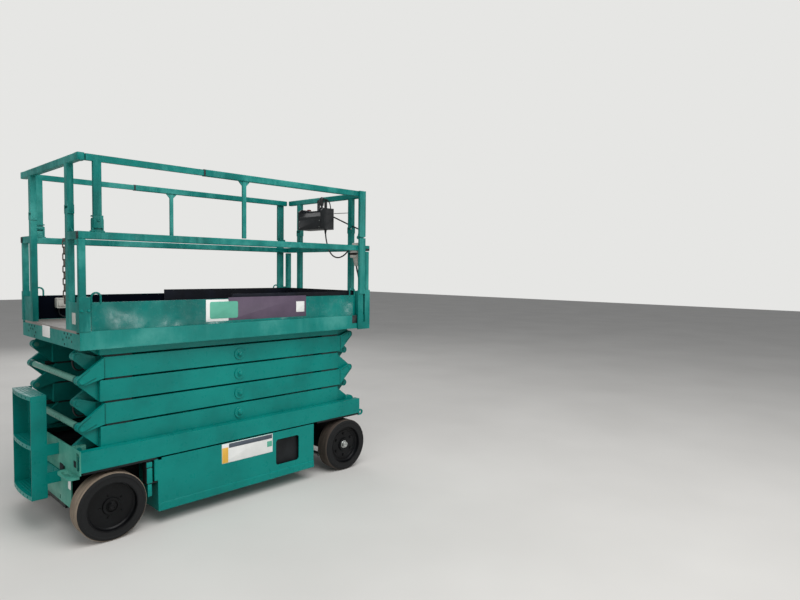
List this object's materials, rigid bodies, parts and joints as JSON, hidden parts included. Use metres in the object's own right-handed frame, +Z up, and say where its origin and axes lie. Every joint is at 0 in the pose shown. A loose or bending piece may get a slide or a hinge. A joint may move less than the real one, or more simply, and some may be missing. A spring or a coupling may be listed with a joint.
{
  "type": "scissor lift",
  "caption": "Teal electric slab scissor lift, stowed, with five-stage scissor stack, roll-out deck, folding guard rails, swing-out modules, rear ladder and steered front wheels",
  "frame": {"origin": "on the floor below the middle of the overall length and width", "axes": "+X to the front, +Y to the left side, +Z up"},
  "size_m": [2.435, 1.1772, 2.2899],
  "materials": {
    "teal_paint": "gloss",
    "black_paint": "satin",
    "rim_paint": "satin",
    "tyre_rubber": "matte",
    "deck_steel": "matte",
    "bright_steel": "satin",
    "rod_chrome": "polished",
    "grey_plastic": "matte",
    "box_plastic": "matte"
  },
  "bodies": {
    "chassis": {"chassis_rails": "teal_paint", "chassis_spine": "teal_paint", "rear_bulkhead": "teal_paint", "rear_axle_stubs": "black_paint", "front_axle_arms": "black_paint", "ladder": "teal_paint"},
    "knuckle_left": {"knuckle_left": "black_paint"},
    "knuckle_right": {"knuckle_right": "black_paint"},
    "tie_rod": {"tie_rod": "bright_steel"},
    "module_left": {"module_tray_left": "teal_paint", "battery_pack": "black_paint"},
    "module_right": {"module_tray_right": "teal_paint", "hydraulic_unit": "black_paint"},
    "wheel_rear_left": {"tyre_rear_left": "tyre_rubber", "rim_rear_left": "rim_paint"},
    "wheel_rear_right": {"tyre_rear_right": "tyre_rubber", "rim_rear_right": "rim_paint"},
    "wheel_front_left": {"tyre_front_left": "tyre_rubber", "rim_front_left": "rim_paint"},
    "wheel_front_right": {"tyre_front_right": "tyre_rubber", "rim_front_right": "rim_paint"},
    "inner_pair_1": {"inner_arms_1": "teal_paint"},
    "outer_pair_1": {"outer_arms_1": "teal_paint"},
    "inner_pair_2": {"inner_arms_2": "teal_paint"},
    "outer_pair_2": {"outer_arms_2": "teal_paint"},
    "inner_pair_3": {"inner_arms_3": "teal_paint"},
    "outer_pair_3": {"outer_arms_3": "teal_paint"},
    "inner_pair_4": {"inner_arms_4": "teal_paint"},
    "outer_pair_4": {"outer_arms_4": "teal_paint"},
    "inner_pair_5": {"inner_arms_5": "teal_paint"},
    "outer_pair_5": {"outer_arms_5": "teal_paint"},
    "barrel_lower": {"cylinder_barrel_lower": "black_paint"},
    "rod_lower": {"cylinder_rod_lower": "rod_chrome"},
    "barrel_upper": {"cylinder_barrel_upper": "black_paint"},
    "rod_upper": {"cylinder_rod_upper": "rod_chrome"},
    "platform": {"platform_frame": "teal_paint", "platform_deck": "deck_steel", "toe_boards": "teal_paint", "guard_posts_main": "teal_paint", "access_chain": "bright_steel", "outlet_box": "grey_plastic"},
    "extension": {"extension_deck": "deck_steel", "extension_toe_boards": "teal_paint", "extension_corner_posts": "teal_paint", "extension_end_posts": "teal_paint"},
    "side_rear_left": {"guard_side_rear_left": "teal_paint"},
    "side_front_left": {"guard_side_front_left": "teal_paint"},
    "side_rear_right": {"guard_side_rear_right": "teal_paint"},
    "side_front_right": {"guard_side_front_right": "teal_paint"},
    "end_rear": {"guard_rear": "teal_paint"},
    "end_front": {"guard_front": "teal_paint", "control_box": "box_plastic", "joystick": "box_plastic"}
  },
  "joints": [
    {"name": "lift", "type": "hinge", "parent": "chassis", "child": "inner_pair_1", "pos_m": [-1.0135, 0, 0.5495], "axis": [0, -1, 0], "range_deg": [0, 57.5]},
    {"name": "cross_1", "type": "hinge", "parent": "inner_pair_1", "child": "outer_pair_1", "pos_m": [0.0265, 0, 0.61925], "axis": [0, -1, 0], "range_deg": [-115.11, 0]},
    {"name": "rear_pins_1", "type": "hinge", "parent": "outer_pair_1", "child": "outer_pair_2", "pos_m": [-1.0135, 0, 0.689], "axis": [0, -1, 0], "range_deg": [0, 115.11]},
    {"name": "cross_2", "type": "hinge", "parent": "outer_pair_2", "child": "inner_pair_2", "pos_m": [0.0265, 0, 0.75875], "axis": [0, -1, 0], "range_deg": [-115.11, 0]},
    {"name": "front_pins_2", "type": "hinge", "parent": "outer_pair_2", "child": "outer_pair_3", "pos_m": [1.0665, 0, 0.8285], "axis": [0, -1, 0], "range_deg": [-115.11, 0]},
    {"name": "cross_3", "type": "hinge", "parent": "outer_pair_3", "child": "inner_pair_3", "pos_m": [0.0265, 0, 0.89825], "axis": [0, -1, 0], "range_deg": [0, 115.11]},
    {"name": "rear_pins_3", "type": "hinge", "parent": "outer_pair_3", "child": "outer_pair_4", "pos_m": [-1.0135, 0, 0.968], "axis": [0, -1, 0], "range_deg": [0, 115.11]},
    {"name": "cross_4", "type": "hinge", "parent": "outer_pair_4", "child": "inner_pair_4", "pos_m": [0.0265, 0, 1.03775], "axis": [0, -1, 0], "range_deg": [-115.11, 0]},
    {"name": "front_pins_4", "type": "hinge", "parent": "outer_pair_4", "child": "outer_pair_5", "pos_m": [1.0665, 0, 1.1075], "axis": [0, -1, 0], "range_deg": [-115.11, 0]},
    {"name": "cross_5", "type": "hinge", "parent": "outer_pair_5", "child": "inner_pair_5", "pos_m": [0.0265, 0, 1.17725], "axis": [0, -1, 0], "range_deg": [0, 115.11]},
    {"name": "platform_pins", "type": "hinge", "parent": "outer_pair_5", "child": "platform", "pos_m": [-1.0015, 0, 1.207], "axis": [0, -1, 0], "range_deg": [0, 57.56]},
    {"name": "barrel_lower_pivot", "type": "hinge", "parent": "inner_pair_2", "child": "barrel_lower", "pos_m": [0.6765, 0, 0.75875], "axis": [0, -1, 0], "range_deg": [-3.55, 0]},
    {"name": "rod_lower_stroke", "type": "slide", "parent": "barrel_lower", "child": "rod_lower", "axis": [-0.9951, 0, 0.0994], "range_m": [0, 0.499]},
    {"name": "barrel_upper_pivot", "type": "hinge", "parent": "inner_pair_4", "child": "barrel_upper", "pos_m": [0.6765, 0, 1.03775], "axis": [0, -1, 0], "range_deg": [-3.55, 0]},
    {"name": "rod_upper_stroke", "type": "slide", "parent": "barrel_upper", "child": "rod_upper", "axis": [-0.9951, 0, 0.0994], "range_m": [0, 0.499]},
    {"name": "extension_slide", "type": "slide", "parent": "platform", "child": "extension", "axis": [1, 0, 0], "range_m": [0, 0.9]},
    {"name": "fold_side_left", "type": "hinge", "parent": "platform", "child": "side_rear_left", "pos_m": [-0.9355, 0.5526, 1.91], "axis": [1, 0, 0], "range_deg": [0, 90]},
    {"name": "fold_side_front_left", "type": "hinge", "parent": "extension", "child": "side_front_left", "pos_m": [1.1245, 0.5526, 1.91], "axis": [1, 0, 0], "range_deg": [0, 90.1]},
    {"name": "fold_side_right", "type": "hinge", "parent": "platform", "child": "side_rear_right", "pos_m": [-0.9355, -0.5526, 1.91], "axis": [-1, 0, 0], "range_deg": [0, 90]},
    {"name": "fold_side_front_right", "type": "hinge", "parent": "extension", "child": "side_front_right", "pos_m": [1.1245, -0.5526, 1.91], "axis": [-1, 0, 0], "range_deg": [0, 90.1]},
    {"name": "fold_rear", "type": "hinge", "parent": "platform", "child": "end_rear", "pos_m": [-1.024, 0, 1.972], "axis": [0, 1, 0], "range_deg": [0, 90]},
    {"name": "fold_front", "type": "hinge", "parent": "extension", "child": "end_front", "pos_m": [1.197, 0, 1.972], "axis": [0, -1, 0], "range_deg": [0, 90]},
    {"name": "swing_module_left", "type": "hinge", "parent": "chassis", "child": "module_left", "pos_m": [-0.6065, 0.552, 0.264], "axis": [0, 0, 1], "range_deg": [0, 90]},
    {"name": "spin_rear_left", "type": "hinge", "parent": "chassis", "child": "wheel_rear_left", "pos_m": [-0.8745, 0.5165, 0.205], "axis": [0, 1, 0], "continuous": true},
    {"name": "swing_module_right", "type": "hinge", "parent": "chassis", "child": "module_right", "pos_m": [-0.6065, -0.552, 0.264], "axis": [0, 0, -1], "range_deg": [0, 90]},
    {"name": "spin_rear_right", "type": "hinge", "parent": "chassis", "child": "wheel_rear_right", "pos_m": [-0.8745, -0.5165, 0.205], "axis": [0, 1, 0], "continuous": true},
    {"name": "steer_left", "type": "hinge", "parent": "chassis", "child": "knuckle_left", "pos_m": [0.9675, 0.4, 0.205], "axis": [0, 0, 1], "range_deg": [-50, 50]},
    {"name": "steer_right", "type": "hinge", "parent": "chassis", "child": "knuckle_right", "pos_m": [0.9675, -0.4, 0.205], "axis": [0, 0, 1], "range_deg": [-50.1, 50.1]},
    {"name": "tie_rod_eye", "type": "hinge", "parent": "knuckle_left", "child": "tie_rod", "pos_m": [0.8375, 0.4, 0.1175], "axis": [0, 0, 1], "range_deg": [-50.1, 50.1]},
    {"name": "spin_front_left", "type": "hinge", "parent": "knuckle_left", "child": "wheel_front_left", "pos_m": [0.9675, 0.5165, 0.205], "axis": [0, 1, 0], "continuous": true},
    {"name": "spin_front_right", "type": "hinge", "parent": "knuckle_right", "child": "wheel_front_right", "pos_m": [0.9675, -0.5165, 0.205], "axis": [0, 1, 0], "continuous": true}
  ],
  "couplings": [
    {"joint": "cross_1", "follows": "lift", "ratio": -2},
    {"joint": "rear_pins_1", "follows": "lift", "ratio": 2},
    {"joint": "cross_2", "follows": "lift", "ratio": -2},
    {"joint": "front_pins_2", "follows": "lift", "ratio": -2},
    {"joint": "cross_3", "follows": "lift", "ratio": 2},
    {"joint": "rear_pins_3", "follows": "lift", "ratio": 2},
    {"joint": "cross_4", "follows": "lift", "ratio": -2},
    {"joint": "front_pins_4", "follows": "lift", "ratio": -2},
    {"joint": "cross_5", "follows": "lift", "ratio": 2},
    {"joint": "platform_pins", "follows": "lift", "ratio": 1},
    {"joint": "barrel_lower_pivot", "follows": "lift", "ratio": -0.061761},
    {"joint": "rod_lower_stroke", "follows": "lift", "m_per_rad": 0.49608},
    {"joint": "barrel_upper_pivot", "follows": "lift", "ratio": -0.061761},
    {"joint": "rod_upper_stroke", "follows": "lift", "m_per_rad": 0.49608},
    {"joint": "fold_side_front_left", "follows": "fold_side_left", "ratio": 1},
    {"joint": "fold_side_front_right", "follows": "fold_side_right", "ratio": 1},
    {"joint": "steer_right", "follows": "steer_left", "ratio": 1},
    {"joint": "tie_rod_eye", "follows": "steer_left", "ratio": -1}
  ]
}
